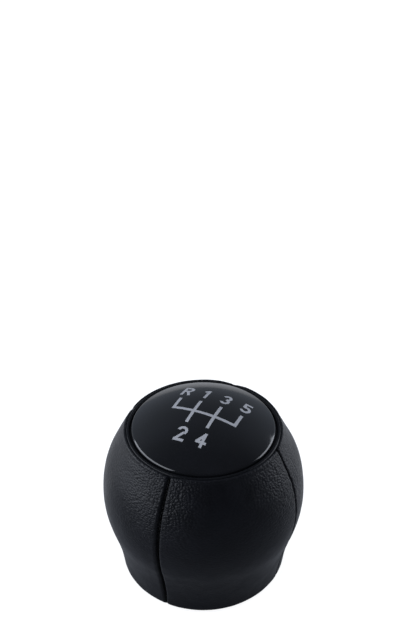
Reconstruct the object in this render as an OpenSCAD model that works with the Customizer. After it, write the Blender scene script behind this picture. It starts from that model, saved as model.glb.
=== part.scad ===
// Gear shift knob: a leather covered ball on a two-part moulded core, with a domed cap
// that carries the shift pattern, a trim ring round it and a threaded brass insert.
// Millimetres, +Z up, origin at the middle of the base that the knob stands on.
// The driver's side is -Y, and the shift pattern reads the right way up from there.

/* [Grip] */
// Largest radius of the leather grip
grip_r = 25; // [23:0.5:28]
// Height of the largest radius above the base
belly_z = 24.5; // [23:0.5:26]
// Radius of the grip's side curve above the flare
belly_arc = 33; // [31:0.5:36]
// Height at which the side curve turns into the flare
flare_z = 15.26; // [14:0.02:17]
// Radius of the hollow curve of the flare
flare_arc = 70; // [60:1:90]
// Height of the trim ring's top edge
bezel_z = 43.8; // [42:0.1:44.5]

/* [Leather] */
// Thickness of the leather
leather_t = 1.2; // [1:0.1:1.4]
// Gap between two neighbouring panels at a seam
seam_gap = 0.2; // [0.1:0.05:0.3]
// Radius of the rounded panel edges beside a seam
seam_round = 1.6; // [1.4:0.1:1.8]
// Depth of the panels' turned-in edges, from the outer face
seam_fold = 3.2; // [2.8:0.1:3.4]
// Amount by which the seam's valley is shallower along the flare
valley_fade = 0.15; // [0.1:0.05:0.3]
// Radius of the rounded lower hem
hem_round = 1.9; // [1.6:0.1:2.2]
// Height of the hem's lowest line above the base
hem_z = 0.4; // [0.2:0.1:0.6]
// Width of the leather tucked under the trim ring and over the base ring
tuck_w = 2.4; // [2:0.1:2.8]
// Drop of the leather's top edge below the trim ring's top
lip_drop = 0.1; // [0:0.1:0.6]
// Width of the leather's top edge
lip_w = 0.3; // [0.2:0.05:0.5]
// Gap between the leather's edge and a ring
lip_gap = 0.15; // [0.1:0.05:0.3]

/* [Thread] */
// Radius of the sewing thread
thread_r = 0.25; // [0.2:0.05:0.3]
// Height between two stitches
stitch_pitch = 3.2; // [2.8:0.1:4]
// Depth of the stitches below the leather's outer face
stitch_depth = 2.3; // [2.1:0.1:2.4]

/* [Foam] */
// Thickness of the foam behind a leather panel
foam_t = 1.4; // [1.2:0.1:1.6]
// Height of the core's edge lands that the foam lies between
land_h = 1.6; // [1.4:0.1:2]

/* [Core] */
// Wall of the core
core_wall = 2.2; // [2:0.1:2.4]
// Floor of the lower core
floor_t = 2; // [1.8:0.1:2.4]
// Deck of the upper core
deck_t = 2.4; // [2.2:0.1:2.8]
// Thickness of the ribs and gussets
rib_t = 1.8; // [1.4:0.1:2.2]
// Height of the lap joint between the core halves
lap_h = 3; // [2:0.5:4]
// Wall of the hub around the threaded insert
hub_wall = 1.8; // [1.5:0.1:2.2]
// Height of the gussets under the deck
gusset_h = 6; // [4:0.5:8]

/* [Lever seat] */
// Radius of the insert's bore, the tapping size of an M12 x 1.25 thread
thread_bore_r = 5.375; // [5:0.125:5.5]
// Wall of the insert round its bore
insert_wall = 2.225; // [2:0.025:2.6]
// Length of the insert
insert_l = 18; // [16:0.5:20]
// Height of the insert's mouth
insert_z = 12; // [10:0.5:13]
// Width of the groove round the insert
insert_groove_w = 3; // [2:0.5:4]
// Depth of the groove round the insert
insert_groove_d = 0.6; // [0.4:0.1:0.8]
// Chamfer at both ends of the insert's bore
bore_chamfer = 0.6; // [0.4:0.1:0.8]
// Radius of the lever's way in below the insert
lever_bore_r = 6.6; // [6.2:0.1:6.8]

/* [Trim ring] */
// Width of the visible ring
bezel_w = 0.9; // [0.8:0.1:1.2]
// Height of the visible ring above the cap's seat
bezel_lip_h = 0.8; // [0.6:0.1:1]
// Thickness of the flange that clamps the leather
bezel_flange_t = 0.8; // [0.6:0.1:1]
// Thickness of the skirt that centres the ring in the deck
bezel_skirt_t = 1.2; // [1:0.1:1.4]
// Depth of the skirt in the deck
bezel_skirt_d = 1.2; // [0.8:0.1:1.3]
// Gap between the skirt and the tucked leather
skirt_gap = 0.6; // [0.4:0.1:0.8]

/* [Cap] */
// Radius of the cap's dome
dome_r = 34; // [30:0.5:40]
// Thickness of the cap
cap_t = 2; // [1.8:0.1:2.2]
// Gap between the cap and the trim ring
cap_gap = 0.3; // [0.2:0.05:0.5]
// Height of the cap's upright edge above its seat
cap_edge_h = 1.05; // [0.8:0.05:1.2]
// Chamfer round the cap's edge
cap_chamfer = 0.4; // [0.2:0.1:0.5]

/* [Snap hooks] */
// Thickness of the cap's snap legs and the base ring's hooks
hook_t = 1.4; // [1.2:0.1:1.6]
// Width of a hook
hook_w = 5; // [4:0.5:6]
// Reach of a hook's nose
hook_nose = 0.7; // [0.5:0.1:0.9]
// Height of a hook's nose
hook_nose_h = 1.6; // [1.2:0.1:2]
// Gap between the noses of the cap's legs and the trim ring's skirt
leg_gap = 0.2; // [0.1:0.1:0.6]

/* [Base ring] */
// Radius of the hole that the lever goes through
base_hole_r = 7.2; // [7:0.1:8]
// Thickness of the ring under the tucked leather
base_t = 1.2; // [1:0.1:1.4]
// Flat stretch of the hem beside the ring
hem_flat = 0.5; // [0.3:0.1:0.7]

/* [Shift pattern] */
// Place of the gate's middle, to the right of the cap's middle
gate_x = 0.5; // [-0.5:0.1:0.8]
// Place of the gate's cross line, behind the cap's middle
gate_y = -0.75; // [-1:0.05:0]
// Distance between two columns of the gate
gate_step = 5.25; // [5:0.05:5.4]
// Length of a gate line above or below the cross line
gate_arm = 4.1; // [3.6:0.05:4.3]
// Width of the gate's lines
gate_line = 0.75; // [0.6:0.05:0.9]
// Height of a figure
figure_h = 4; // [3.4:0.1:4.4]
// Width of a figure
figure_w = 2.6; // [2.4:0.1:2.9]
// Stroke of a figure
figure_line = 0.68; // [0.6:0.02:0.8]
// Distance between a gate line's end and the middle of its figure
figure_reach = 3.55; // [3.3:0.05:4]
// Distance by which an upper figure stands left of its gate line, and a lower one right of it
figure_lean = 0.3; // [0:0.05:0.5]
// Distance by which the reverse mark stands further right than the other upper figures
reverse_shift = 0.5; // [0:0.1:0.8]
// Depth of the marks in the cap
mark_depth = 0.3; // [0.2:0.1:0.5]

/* [Hidden] */
$fn = 96;

// Gap between fixed pieces that lie against each other
fit = 0.1;
// Gap between moulded-in metal and its plastic
mould_gap = 0.05;
// Overrun of every cut past the face that it opens
over = 1;
// Height by which a mark stands proud of the cap
mark_proud = 0.03;
// Angle at which the rounded panel edges leave the outer face and enter the gap
seam_edge_a = 25;
// Radius of the thread where it is pulled through the leather, as a share of its own
pull_share = 0.8;

// Quarter turns at which the four seams lie
SEAMS = [0, 90, 180, 270];

// Middle of the side curve, in the plane of radius and height
belly_cr = grip_r - belly_arc;
// Angle below the belly at which the side curve ends
flare_a = asin((flare_z - belly_z) / belly_arc);
// Middle of the flare's hollow curve
flare_cr = belly_cr + (belly_arc + flare_arc) * cos(flare_a);
flare_cz = belly_z + (belly_arc + flare_arc) * sin(flare_a);

// Height at which the two curves meet at a depth d below the outer face
function join_z(d) = belly_z + (belly_arc - d) * sin(flare_a);
// Radius of the grip at height z and depth d
function grip_at(z, d) = z >= join_z(d)
    ? belly_cr + sqrt(pow(belly_arc - d, 2) - pow(z - belly_z, 2))
    : flare_cr - sqrt(pow(flare_arc + d, 2) - pow(z - flare_cz, 2));

// Faces that the leather is tucked round, from the bottom up
core_bottom = base_t + leather_t;
clamp_z = bezel_z - bezel_lip_h - bezel_flange_t;
core_top = clamp_z - leather_t;
leather_top = bezel_z - lip_drop;

// Rings at the top and at the bottom
bezel_r = grip_at(leather_top, 0) - lip_w - lip_gap;
tuck_top_r = bezel_r - tuck_w;
skirt_r = tuck_top_r - skirt_gap;
hem_cz = hem_z + hem_round;
hem_cr = grip_at(hem_cz, 0) - hem_round;
base_r = hem_cr - hem_flat - lip_gap;
tuck_base_r = base_r - tuck_w;

// Depths below the outer face
foam_d = leather_t + fit;
core_d = foam_d + foam_t + fit;
core_in_d = core_d + core_wall;
slot_d = seam_fold + 3 * fit;
foam_z0 = core_bottom + land_h;
foam_z1 = core_top - land_h;
thread_off = seam_gap / 2 + leather_t + thread_r + mould_gap;
slot_half = thread_off + thread_r + fit;

// Core
split_z = belly_z;
spigot_in = grip_r - core_in_d;
spigot_out = spigot_in + (core_wall - fit) / 2;
deck_z = core_top - deck_t;
floor_z = core_bottom + floor_t;
insert_r = thread_bore_r + insert_wall;
hub_r = insert_r + hub_wall;
insert_top = insert_z + insert_l;
groove_z = insert_z + (insert_l - insert_groove_w) / 2;
hub_top = insert_top + 2 * bore_chamfer + floor_t;

// Cap
seat_z = bezel_z - bezel_lip_h;
cap_r = bezel_r - bezel_w - cap_gap;
dome_cz = seat_z + cap_edge_h - sqrt(pow(dome_r, 2) - pow(cap_r, 2));
leg_r = skirt_r - bezel_skirt_t - leg_gap - hook_nose;

// Plane area inside the grip's outline, at a depth d, right of the axis
module grip_area(d) {
    intersection() {
        translate([belly_cr, belly_z])
            circle(r = belly_arc - d);
        translate([0, join_z(d)])
            square([grip_r, belly_arc]);
    }
    difference() {
        translate([0, -over])
            square([grip_at(join_z(d), d), join_z(d) + over]);
        translate([flare_cr, flare_cz])
            circle(r = flare_arc + d, $fn = 4 * $fn);
    }
}

// The part of that area between two heights
module grip_band(d, z0, z1) {
    intersection() {
        grip_area(d);
        translate([0, z0])
            square([grip_r + over, z1 - z0]);
    }
}

// A plate in the seam plane, between the distances u0 and u1 to its left
module seam_plate(u0, u1) {
    translate([0, u1, 0])
        rotate([90, 0, 0])
            linear_extrude(height = u1 - u0)
                children();
}

// Section of a leather panel, tucked in at the top and at the bottom
module leather_section() {
    difference() {
        union() {
            grip_band(0, hem_cz, leather_top);
            translate([0, hem_z])
                square([hem_cr, hem_round + over]);
            translate([hem_cr, hem_cz])
                circle(r = hem_round);
        }
        grip_band(leather_t, core_bottom, core_top);
        translate([0, clamp_z])
            square([bezel_r + lip_gap, belly_arc]);
        translate([0, split_z])
            square([tuck_top_r, bezel_z - split_z]);
        translate([0, -over])
            square([base_r + lip_gap, base_t + over]);
        translate([0, -over])
            square([tuck_base_r, split_z + over]);
    }
}

// The turned-in edge of a panel along its seam
module fold_section() {
    difference() {
        grip_band(leather_t / 2, core_bottom + fit, core_top - fit);
        grip_area(seam_fold);
    }
}

// Section of the seam's rounded valley, with the outer face at the radius r, the open
// side outwards for side 1 or inwards for side -1, and its sides' middles sunk by sink
module valley_section(r, side, sink) {
    half = seam_round * cos(seam_edge_a) + seam_gap / 2;
    translate([r, 0])
        difference() {
            translate([side > 0 ? -sink : -seam_round, -half])
                square([seam_round + sink, 2 * half]);
            for (u = [-half, half])
                translate([-side * sink, u])
                    circle(r = seam_round, $fn = 48);
        }
}

// The valley along the whole seam, in the plane of radius and height
module seam_valley() {
    translate([belly_cr, 0, belly_z])
        rotate([90, 0, 0])
            rotate_extrude(angle = 60 - flare_a, start = flare_a, $fn = 4 * $fn)
                valley_section(belly_arc, 1, seam_round * cos(seam_edge_a));
    translate([flare_cr, 0, flare_cz])
        rotate([90, 0, 0])
            rotate_extrude(angle = 20, start = 180 + flare_a, $fn = 4 * $fn)
                valley_section(flare_arc, -1, seam_round * cos(seam_edge_a) - valley_fade);
}

// Heights of the stitches along a seam
stitch_n = floor((foam_z1 - foam_z0 - 2 * land_h) / stitch_pitch);
stitch_zs = [for (i = [0:stitch_n]) foam_z0 + land_h + i * stitch_pitch];

// Rods through both folds of one seam, at its stitches
module stitch_crossings(r, reach) {
    for (z = stitch_zs)
        translate([grip_at(z, stitch_depth), 0, z])
            rotate([90, 0, 0])
                cylinder(r = r, h = 2 * reach, center = true, $fn = 24);
}

// One leather panel, between the seams at 0 and 90 degrees
module leather_quarter() {
    difference() {
        union() {
            rotate_extrude(angle = 90)
                leather_section();
            seam_plate(0, seam_gap / 2 + leather_t)
                fold_section();
            rotate([0, 0, 90])
                seam_plate(-seam_gap / 2 - leather_t, 0)
                    fold_section();
        }
        for (a = [0, 90])
            rotate([0, 0, a]) {
                translate([0, -seam_gap / 2, -over])
                    cube([grip_r + over, seam_gap, bezel_z + 2 * over]);
                seam_valley();
                stitch_crossings(pull_share * thread_r + mould_gap, slot_half);
            }
    }
}

module leather_panel(a) {
    color("#232428")
        rotate([0, 0, a])
            leather_quarter();
}

// The running stitch of one seam, through both folds and along their outer faces
module stitch_row() {
    stitch_crossings(pull_share * thread_r, thread_off);
    for (i = [0:stitch_n - 1]) {
        z0 = stitch_zs[i];
        z1 = stitch_zs[i + 1];
        r0 = grip_at(z0, stitch_depth);
        r1 = grip_at(z1, stitch_depth);
        translate([r0, (i % 2 == 0 ? 1 : -1) * thread_off, z0])
            rotate([0, atan2(r1 - r0, z1 - z0), 0])
                translate([0, 0, -thread_r])
                    cylinder(r = thread_r, h = norm([r1 - r0, z1 - z0]) + 2 * thread_r, $fn = 24);
    }
}

module seam_threads() {
    color("#151515")
        for (a = SEAMS)
            rotate([0, 0, a])
                stitch_row();
}

// One foam pad, behind one leather panel and clear of its seams
module foam_pad(a) {
    color("#4a4a4a")
        rotate([0, 0, a])
            difference() {
                rotate_extrude(angle = 90)
                    difference() {
                        grip_band(foam_d, foam_z0, foam_z1);
                        grip_area(foam_d + foam_t);
                    }
                for (b = [0, 90])
                    rotate([0, 0, b])
                        translate([0, -slot_half, -over])
                            cube([grip_r, 2 * slot_half, bezel_z]);
            }
}

// Section of the whole core: foam bed, edge lands, floor and deck, hollow inside
module core_section() {
    difference() {
        union() {
            grip_band(core_d, core_bottom, core_top);
            grip_band(foam_d, core_bottom, foam_z0 - fit);
            grip_band(foam_d, foam_z1 + fit, core_top);
        }
        grip_band(core_in_d, floor_z, deck_z);
    }
}

// The slots that take the folds of the four seams
module seam_slots() {
    for (a = SEAMS)
        rotate([0, 0, a])
            seam_plate(-slot_half, slot_half)
                difference() {
                    translate([0, core_bottom - over])
                        square([grip_r + over, core_top - core_bottom + 2 * over]);
                    grip_area(slot_d);
                }
}

// A hook's shank and its outward nose, whose catching face is at height catch_z
module hook(r, z0, catch_z) {
    rise = z0 < catch_z ? 1 : -1;
    nose_end = catch_z + rise * hook_nose_h;
    intersection() {
        rotate_extrude()
            polygon([
                [r - hook_t, z0], [r, z0], [r, catch_z], [r + hook_nose, catch_z],
                [r + hook_nose, catch_z + rise * hook_nose_h / 3], [r, nose_end],
                [r - hook_t, nose_end]
            ]);
        translate([0, -hook_w / 2, min(z0, nose_end) - over])
            cube([grip_r, hook_w, abs(nose_end - z0) + 2 * over]);
    }
}

// The hollow of the hub: lever bore, insert with its groove, and room for the lever's tip
module hub_hollow() {
    rotate_extrude()
        polygon([
            [0, core_bottom - over], [lever_bore_r, core_bottom - over],
            [lever_bore_r, insert_z - mould_gap], [insert_r + mould_gap, insert_z - mould_gap],
            [insert_r + mould_gap, groove_z + mould_gap],
            [insert_r + mould_gap - insert_groove_d, groove_z + mould_gap],
            [insert_r + mould_gap - insert_groove_d, groove_z + insert_groove_w - mould_gap],
            [insert_r + mould_gap, groove_z + insert_groove_w - mould_gap],
            [insert_r + mould_gap, insert_top + mould_gap],
            [thread_bore_r + bore_chamfer, insert_top + mould_gap],
            [thread_bore_r + bore_chamfer, hub_top - floor_t], [0, hub_top - floor_t]
        ]);
}

base_hook_r = (hub_r + tuck_base_r) / 2 + hook_t;

module core_lower() {
    color("#3b3c3e")
        difference() {
            union() {
                rotate_extrude()
                    intersection() {
                        core_section();
                        square([grip_r, split_z]);
                    }
                rotate_extrude()
                    translate([spigot_in, split_z - lap_h])
                        square([spigot_out - spigot_in, 2 * lap_h]);
                translate([0, 0, core_bottom])
                    cylinder(r = hub_r, h = hub_top - core_bottom);
                for (a = SEAMS)
                    rotate([0, 0, a + 45])
                        seam_plate(-rib_t / 2, rib_t / 2)
                            grip_band(core_d + core_wall / 2, core_bottom, split_z - lap_h);
            }
            seam_slots();
            hub_hollow();
            for (a = SEAMS)
                rotate([0, 0, a])
                    translate([base_hook_r - 2 * hook_t, -hook_w / 2 - fit, core_bottom - over])
                        cube([2 * hook_t + fit, hook_w + 2 * fit, floor_t + 2 * over]);
        }
}

module core_upper() {
    color("#3b3c3e")
        difference() {
            union() {
                rotate_extrude()
                    intersection() {
                        core_section();
                        translate([0, split_z])
                            square([grip_r, core_top]);
                    }
                for (a = SEAMS)
                    rotate([0, 0, a + 45])
                        seam_plate(-rib_t / 2, rib_t / 2)
                            intersection() {
                                grip_band(core_d + core_wall / 2, deck_z - gusset_h, core_top);
                                polygon([
                                    [leg_r + hook_nose + fit, deck_z + deck_t / 2],
                                    [grip_r, deck_z + deck_t / 2],
                                    [grip_r, deck_z - gusset_h]
                                ]);
                            }
            }
            seam_slots();
            translate([0, 0, split_z - over])
                cylinder(r = spigot_out + fit, h = lap_h + fit + over);
            translate([0, 0, deck_z - over])
                cylinder(r = leg_r + fit, h = deck_t + 2 * over);
            translate([0, 0, core_top - bezel_skirt_d])
                cylinder(r = skirt_r + fit, h = bezel_skirt_d + over);
        }
}

module lever_insert() {
    color("#b5975a")
        rotate_extrude()
            polygon([
                [thread_bore_r + bore_chamfer, insert_z], [insert_r, insert_z],
                [insert_r, groove_z], [insert_r - insert_groove_d, groove_z],
                [insert_r - insert_groove_d, groove_z + insert_groove_w],
                [insert_r, groove_z + insert_groove_w], [insert_r, insert_top],
                [thread_bore_r + bore_chamfer, insert_top],
                [thread_bore_r, insert_top - bore_chamfer], [thread_bore_r, insert_z + bore_chamfer]
            ]);
}

module base_ring() {
    color("#1d1d1f") {
        difference() {
            union() {
                cylinder(r = base_r, h = base_t);
                cylinder(r = tuck_base_r - fit, h = core_bottom);
            }
            translate([0, 0, -over])
                cylinder(r = base_hole_r, h = core_bottom + 2 * over);
        }
        for (a = SEAMS)
            rotate([0, 0, a])
                hook(base_hook_r, base_t, floor_z + fit);
    }
}

module trim_ring() {
    color("#4c4e53")
        rotate_extrude()
            polygon([
                [skirt_r - bezel_skirt_t, core_top - bezel_skirt_d],
                [skirt_r, core_top - bezel_skirt_d], [skirt_r, clamp_z], [bezel_r, clamp_z],
                [bezel_r, bezel_z], [bezel_r - bezel_w, bezel_z], [bezel_r - bezel_w, seat_z],
                [skirt_r - bezel_skirt_t, seat_z]
            ]);
}

// The cap before its marks are sunk in: a domed shell with four snap legs
module cap_blank() {
    rotate_extrude()
        intersection() {
            difference() {
                translate([0, dome_cz])
                    circle(r = dome_r, $fn = 4 * $fn);
                translate([0, dome_cz])
                    circle(r = dome_r - cap_t, $fn = 4 * $fn);
            }
            polygon([
                [0, seat_z], [cap_r, seat_z], [cap_r, seat_z + cap_edge_h - cap_chamfer],
                [cap_r - cap_chamfer, seat_z + cap_edge_h + cap_chamfer],
                [cap_r - cap_chamfer, dome_cz + dome_r + over], [0, dome_cz + dome_r + over]
            ]);
        }
    intersection() {
        for (a = SEAMS)
            rotate([0, 0, a])
                hook(leg_r, dome_cz + dome_r, deck_z - fit);
        translate([0, 0, dome_cz])
            sphere(r = dome_r - cap_t / 2, $fn = 2 * $fn);
    }
}

// A straight stroke between two points
module stroke(p, q, w) {
    translate(p)
        rotate(atan2(q[1] - p[1], q[0] - p[0]))
            translate([0, -w / 2])
                square([norm(q - p), w]);
}

// A stroke bent round the middle c, from the angle a0 to a1
module bend(c, r, w, a0, a1) {
    steps = 6;
    translate(c)
        intersection() {
            difference() {
                circle(r = r, $fn = 64);
                circle(r = r - w, $fn = 64);
            }
            polygon(concat([[0, 0]], [for (i = [0:steps])
                2 * r * [cos(a0 + (a1 - a0) * i / steps), sin(a0 + (a1 - a0) * i / steps)]]));
        }
}

// The gate of five forward gears with reverse at the far left
module gate_shape() {
    x0 = gate_x - 1.5 * gate_step;
    x3 = gate_x + 1.5 * gate_step;
    stroke([x0 - gate_line / 2, gate_y], [x3 + gate_line / 2, gate_y], gate_line);
    for (x = [x0, x3])
        stroke([x, gate_y], [x, gate_y + gate_arm], gate_line);
    for (x = [gate_x - gate_step / 2, gate_x + gate_step / 2])
        stroke([x, gate_y - gate_arm], [x, gate_y + gate_arm], gate_line);
}

// Moves a figure to its gate line: column 0 to 3, row 1 above or -1 below
module at_gate(column, row) {
    translate([
        gate_x + (column - 1.5) * gate_step - row * figure_lean + (column == 0 ? reverse_shift : 0),
        gate_y + row * (gate_arm + figure_reach)
    ])
        children();
}

// Half sizes of a figure, and the radius of its larger bowl
fx = figure_w / 2;
fy = figure_h / 2;
fl = figure_line;
bowl_r = (figure_h + fl) / 4;

module shape_r() {
    stroke([-fx + fl / 2, -fy], [-fx + fl / 2, fy], fl);
    stroke([-fx, fy - fl / 2], [fx - bowl_r, fy - fl / 2], fl);
    stroke([-fx, fy - 2 * bowl_r + fl / 2], [fx - bowl_r, fy - 2 * bowl_r + fl / 2], fl);
    bend([fx - bowl_r, fy - bowl_r], bowl_r, fl, -90, 90);
    stroke([0, fy - 2 * bowl_r + fl / 2], [fx - fl / 2, -fy], fl);
}

module shape_1() {
    stroke([fl / 2, -fy], [fl / 2, fy], fl);
    stroke([fl / 2, fy - fl / 2], [-fx + fl, fy - 1.5 * fl], fl);
}

module shape_2() {
    bend([0, fy - bowl_r], fx, fl, -40, 170);
    stroke([fx - fl, fy - bowl_r - fl / 2], [-fx + fl / 2, -fy + fl / 2], fl);
    stroke([-fx, -fy + fl / 2], [fx, -fy + fl / 2], fl);
}

module shape_3() {
    bend([0, fy - bowl_r], bowl_r, fl, -90, 160);
    bend([0, -fy + bowl_r], bowl_r, fl, -160, 90);
}

module shape_4() {
    stroke([fl / 2, -fy], [fl / 2, fy], fl);
    stroke([-fx, -fy + 2 * fl], [fx, -fy + 2 * fl], fl);
    stroke([fl / 2, fy - fl / 2], [-fx + fl / 2, -fy + 2 * fl], fl);
}

module shape_5() {
    stroke([-fx + fl / 2, fy - fl / 2], [fx - fl / 2, fy - fl / 2], fl);
    stroke([-fx + fl, fy], [-fx + fl, 0], fl);
    bend([0, -fy + fx], fx, fl, -160, 130);
}

// A plane shape as a solid mark, sunk into the dome by a depth and standing proud of it
module mark(depth, proud) {
    intersection() {
        translate([0, 0, seat_z])
            linear_extrude(height = dome_cz + dome_r + over - seat_z)
                children();
        difference() {
            translate([0, 0, dome_cz])
                sphere(r = dome_r + proud, $fn = 4 * $fn);
            translate([0, 0, dome_cz])
                sphere(r = dome_r - depth, $fn = 4 * $fn);
        }
    }
}

module print(depth = mark_depth, proud = mark_proud) {
    color("#9a9ca3")
        mark(depth, proud)
            children();
}

module gate_lines() {
    print()
        gate_shape();
}

module figure_r() {
    print()
        at_gate(0, 1)
            shape_r();
}

module figure_1() {
    print()
        at_gate(1, 1)
            shape_1();
}

module figure_2() {
    print()
        at_gate(1, -1)
            shape_2();
}

module figure_3() {
    print()
        at_gate(2, 1)
            shape_3();
}

module figure_4() {
    print()
        at_gate(2, -1)
            shape_4();
}

module figure_5() {
    print()
        at_gate(3, 1)
            shape_5();
}

module cap() {
    color("#17181b")
        difference() {
            cap_blank();
            mark(mark_depth, over) {
                gate_shape();
                at_gate(0, 1)
                    shape_r();
                at_gate(1, 1)
                    shape_1();
                at_gate(1, -1)
                    shape_2();
                at_gate(2, 1)
                    shape_3();
                at_gate(2, -1)
                    shape_4();
                at_gate(3, 1)
                    shape_5();
            }
        }
}

cap();
gate_lines();
figure_r();
figure_1();
figure_2();
figure_3();
figure_4();
figure_5();
trim_ring();
leather_panel(0);  // leather_back_right
leather_panel(90);  // leather_back_left
leather_panel(180);  // leather_front_left
leather_panel(270);  // leather_front_right
seam_threads();
foam_pad(0);  // foam_back_right
foam_pad(90);  // foam_back_left
foam_pad(180);  // foam_front_left
foam_pad(270);  // foam_front_right
core_upper();
core_lower();
lever_insert();
base_ring();
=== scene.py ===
"""Looks of a leather covered gear shift knob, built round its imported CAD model.

Blender works in metres. Sizes are named in millimetres here and turned to metres by MM.
+Z is up, the driver's side is -Y, and the shift pattern reads the right way up from there.
"""

import logging
import math
from collections.abc import Callable, Iterator, Mapping, Sequence
from contextlib import contextmanager
from dataclasses import dataclass
from enum import Enum

import bmesh
import bpy
from mathutils import Matrix, Vector, noise


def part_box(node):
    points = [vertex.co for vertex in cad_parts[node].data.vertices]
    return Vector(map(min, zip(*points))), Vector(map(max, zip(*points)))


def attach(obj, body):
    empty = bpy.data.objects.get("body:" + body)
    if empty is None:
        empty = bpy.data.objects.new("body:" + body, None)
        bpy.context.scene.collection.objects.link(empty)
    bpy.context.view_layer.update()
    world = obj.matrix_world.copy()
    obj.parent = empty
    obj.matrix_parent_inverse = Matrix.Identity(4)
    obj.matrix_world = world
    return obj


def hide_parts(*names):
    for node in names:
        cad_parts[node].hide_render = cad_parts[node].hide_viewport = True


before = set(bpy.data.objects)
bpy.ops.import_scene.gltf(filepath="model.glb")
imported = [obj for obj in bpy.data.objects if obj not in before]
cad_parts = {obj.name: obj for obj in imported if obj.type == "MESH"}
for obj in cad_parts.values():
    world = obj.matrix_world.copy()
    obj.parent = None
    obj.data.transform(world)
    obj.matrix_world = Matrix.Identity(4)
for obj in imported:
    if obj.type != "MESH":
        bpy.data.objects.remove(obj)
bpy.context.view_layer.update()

LOG = logging.getLogger("gear_knob")
MM = 0.001
BODY = "root"
# Spin turns clockwise round its axis, so this axis makes it turn from +X towards +Y.
SPIN_AXIS = (0, 0, -1)
QUARTER_TURN = math.pi / 2
# Points closer together than this are one point.
MERGE_MM = 0.001
# A panel's faces within this turn of its ends, in radians, lie in its seams.
SEAM_FACE_TURN = 0.001
# A wave texture of scale 1 turns by this many radians in a metre.
WAVE_RADIANS = 20

Point = tuple[float, float]
Span = tuple[float, float]
Direction = tuple[float, float, float]
Piece = bpy.types.Object
Face = bmesh.types.BMFace
Socket = bpy.types.NodeSocket
Tree = bpy.types.NodeTree


# ---------------------------------------------------------------- modelling helpers


class Pick(Enum):
    """What edit mode selects."""

    POINTS = "VERT"
    FACES = "FACE"


def deselect_all() -> None:
    """Clears the selection, so that an operator acts only on what is picked next."""
    for other in bpy.context.selected_objects:
        other.select_set(False)


def pick_only(piece: Piece) -> None:
    """Selects one piece alone and makes it the active one."""
    deselect_all()
    piece.select_set(True)
    bpy.context.view_layer.objects.active = piece


def select_all() -> None:
    """Selects the whole of the open mesh."""
    bpy.ops.mesh.select_all(action="SELECT")


@contextmanager
def editing(piece: Piece, pick: Pick = Pick.POINTS) -> Iterator[bmesh.types.BMesh]:
    """Opens one piece in edit mode with nothing selected in it.

    Args:
        piece: The piece to open.
        pick: What is selected.

    Returns:
        The open mesh, for picking its parts by their place.
    """
    pick_only(piece)
    bpy.ops.object.mode_set(mode="EDIT")
    bpy.ops.mesh.select_mode(type=pick.value)
    bpy.ops.mesh.select_all(action="DESELECT")
    yield bmesh.from_edit_mesh(piece.data)
    bpy.ops.object.mode_set(mode="OBJECT")


def pick_faces(
    piece: Piece, mesh: bmesh.types.BMesh, wanted: Callable[[Face], bool]
) -> None:
    """Selects the faces that a test accepts, in face mode.

    Args:
        piece: The piece that is open in edit mode.
        mesh: Its open mesh.
        wanted: Takes a face and says whether it is selected.
    """
    for face in mesh.faces:
        face.select_set(wanted(face))
    mesh.select_flush_mode()
    bmesh.update_edit_mesh(piece.data)


def arc(centre: Point, radius: float, start: float, end: float, steps: int) -> list[Point]:
    """Lays points on an arc.

    Args:
        centre: Radius and height of the arc's middle, in millimetres.
        radius: The arc's radius, in millimetres.
        start: Angle of the first point above the outward direction, in degrees.
        end: Angle of the last point, in degrees.
        steps: Number of stretches between the points.

    Returns:
        The points in order, the arc's ends included.
    """
    turns = [math.radians(start + (end - start) * i / steps) for i in range(steps + 1)]
    return [(centre[0] + radius * math.cos(t), centre[1] + radius * math.sin(t)) for t in turns]


def spread(first: float, last: float, steps: int) -> list[float]:
    """Returns evenly spaced values from first to last, both included."""
    return [first + (last - first) * i / steps for i in range(steps + 1)]


def section(name: str, points: Sequence[Point]) -> Piece:
    """Makes the closed section of a turned piece, in the plane of radius and height.

    Args:
        name: The piece's name.
        points: Radius and height of each corner, in millimetres, in order.

    Returns:
        A circle of edges whose points are moved to the section's corners.
    """
    deselect_all()
    bpy.ops.mesh.primitive_circle_add(vertices=len(points), radius=MM)
    piece = bpy.context.object
    piece.name = piece.data.name = name
    for vertex, (radius, height) in zip(piece.data.vertices, points):
        vertex.co = Vector((radius, 0, height)) * MM
    return piece


def spin(steps: int, degrees: float) -> None:
    """Turns what is selected of the open mesh round the knob's axis."""
    bpy.ops.mesh.spin(
        steps=steps, angle=math.radians(degrees), center=(0, 0, 0), axis=SPIN_AXIS)


def clean(close: bool = False) -> None:
    """Merges doubles in the open piece, drops loose edges and turns its faces outwards.

    Args:
        close: Whether open ends are filled.
    """
    select_all()
    bpy.ops.mesh.remove_doubles(threshold=MERGE_MM * MM)
    bpy.ops.mesh.delete_loose()
    select_all()
    if close:
        bpy.ops.mesh.fill_holes(sides=0)
        select_all()
    bpy.ops.mesh.normals_make_consistent(inside=False)


def lathe(name: str, points: Sequence[Point], steps: int = 128) -> Piece:
    """Turns a closed section all the way round the knob's axis.

    Args:
        name: The piece's name.
        points: Radius and height of each corner of the section, in millimetres.
        steps: Number of stretches round the axis.

    Returns:
        The turned piece, closed and with its faces outwards.
    """
    piece = section(name, points)
    with editing(piece):
        select_all()
        spin(steps, 360)
        clean()
    return piece


def slab(name: str, points: Sequence[Point], width: float) -> Piece:
    """Gives a closed section a width, half to each side of the plane of radius and height.

    Args:
        name: The piece's name.
        points: Radius and height of each corner of the section, in millimetres.
        width: The width across that plane, in millimetres.

    Returns:
        The piece, closed and with its faces outwards.
    """
    piece = section(name, points)
    with editing(piece):
        select_all()
        bpy.ops.transform.translate(value=(0, -width * MM / 2, 0))
        bpy.ops.mesh.edge_face_add()
        bpy.ops.mesh.extrude_region_move(TRANSFORM_OT_translate={"value": (0, width * MM, 0)})
        clean()
    return piece


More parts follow.
